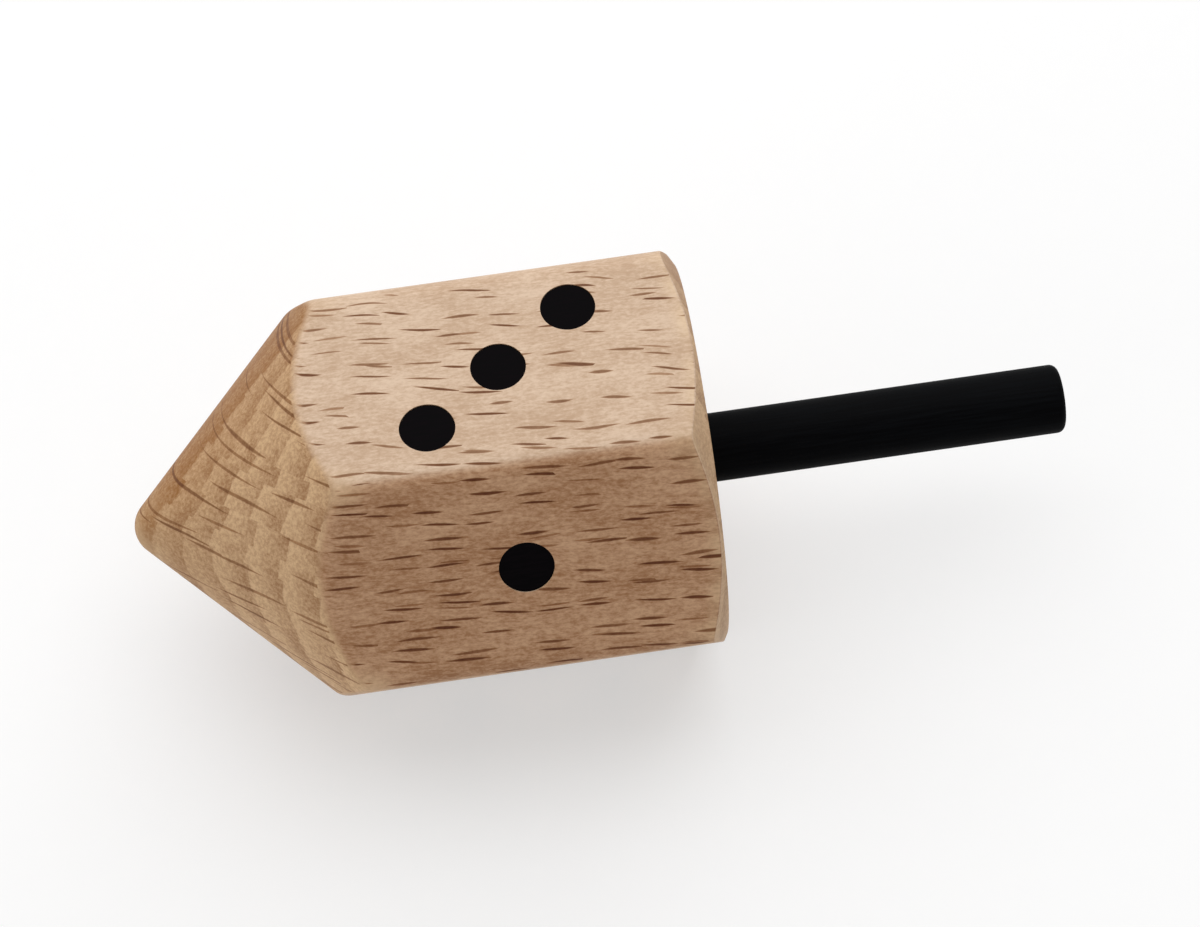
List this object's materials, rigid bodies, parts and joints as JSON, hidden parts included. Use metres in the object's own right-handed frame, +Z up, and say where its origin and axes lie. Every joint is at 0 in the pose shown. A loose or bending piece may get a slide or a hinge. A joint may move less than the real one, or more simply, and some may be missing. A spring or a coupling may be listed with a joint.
{
  "type": "dice spinning top",
  "caption": "Hexagonal wooden die turned into a spinning top, with a cone tip, a stem to twirl and stamped pips on each face.",
  "frame": {"origin": "on the surface that the top lies on, under the middle of its length and width", "axes": "+X along the axis from the tip to the stem, +Z up from the face it lies on, -Y towards the viewer of the picture"},
  "size_m": [0.0604, 0.0286, 0.025],
  "materials": {
    "beech": "sanded beech, oiled, with short dark ray flecks",
    "black_dowel": "black stain, satin",
    "pip_ink": "matt black stamping foil",
    "wood_glue": "dried wood glue"
  },
  "bodies": {
    "root": {"body": "beech", "stem": "black_dowel", "stem_glue": "wood_glue", "pip_one_1": "pip_ink", "pip_two_1": "pip_ink", "pip_two_2": "pip_ink", "pip_three_1": "pip_ink", "pip_three_2": "pip_ink", "pip_three_3": "pip_ink", "pip_four_1": "pip_ink", "pip_four_2": "pip_ink", "pip_four_3": "pip_ink", "pip_four_4": "pip_ink", "pip_five_1": "pip_ink", "pip_five_2": "pip_ink", "pip_five_3": "pip_ink", "pip_five_4": "pip_ink", "pip_five_5": "pip_ink", "pip_six_1": "pip_ink", "pip_six_2": "pip_ink", "pip_six_3": "pip_ink", "pip_six_4": "pip_ink", "pip_six_5": "pip_ink", "pip_six_6": "pip_ink"}
  },
  "joints": []
}
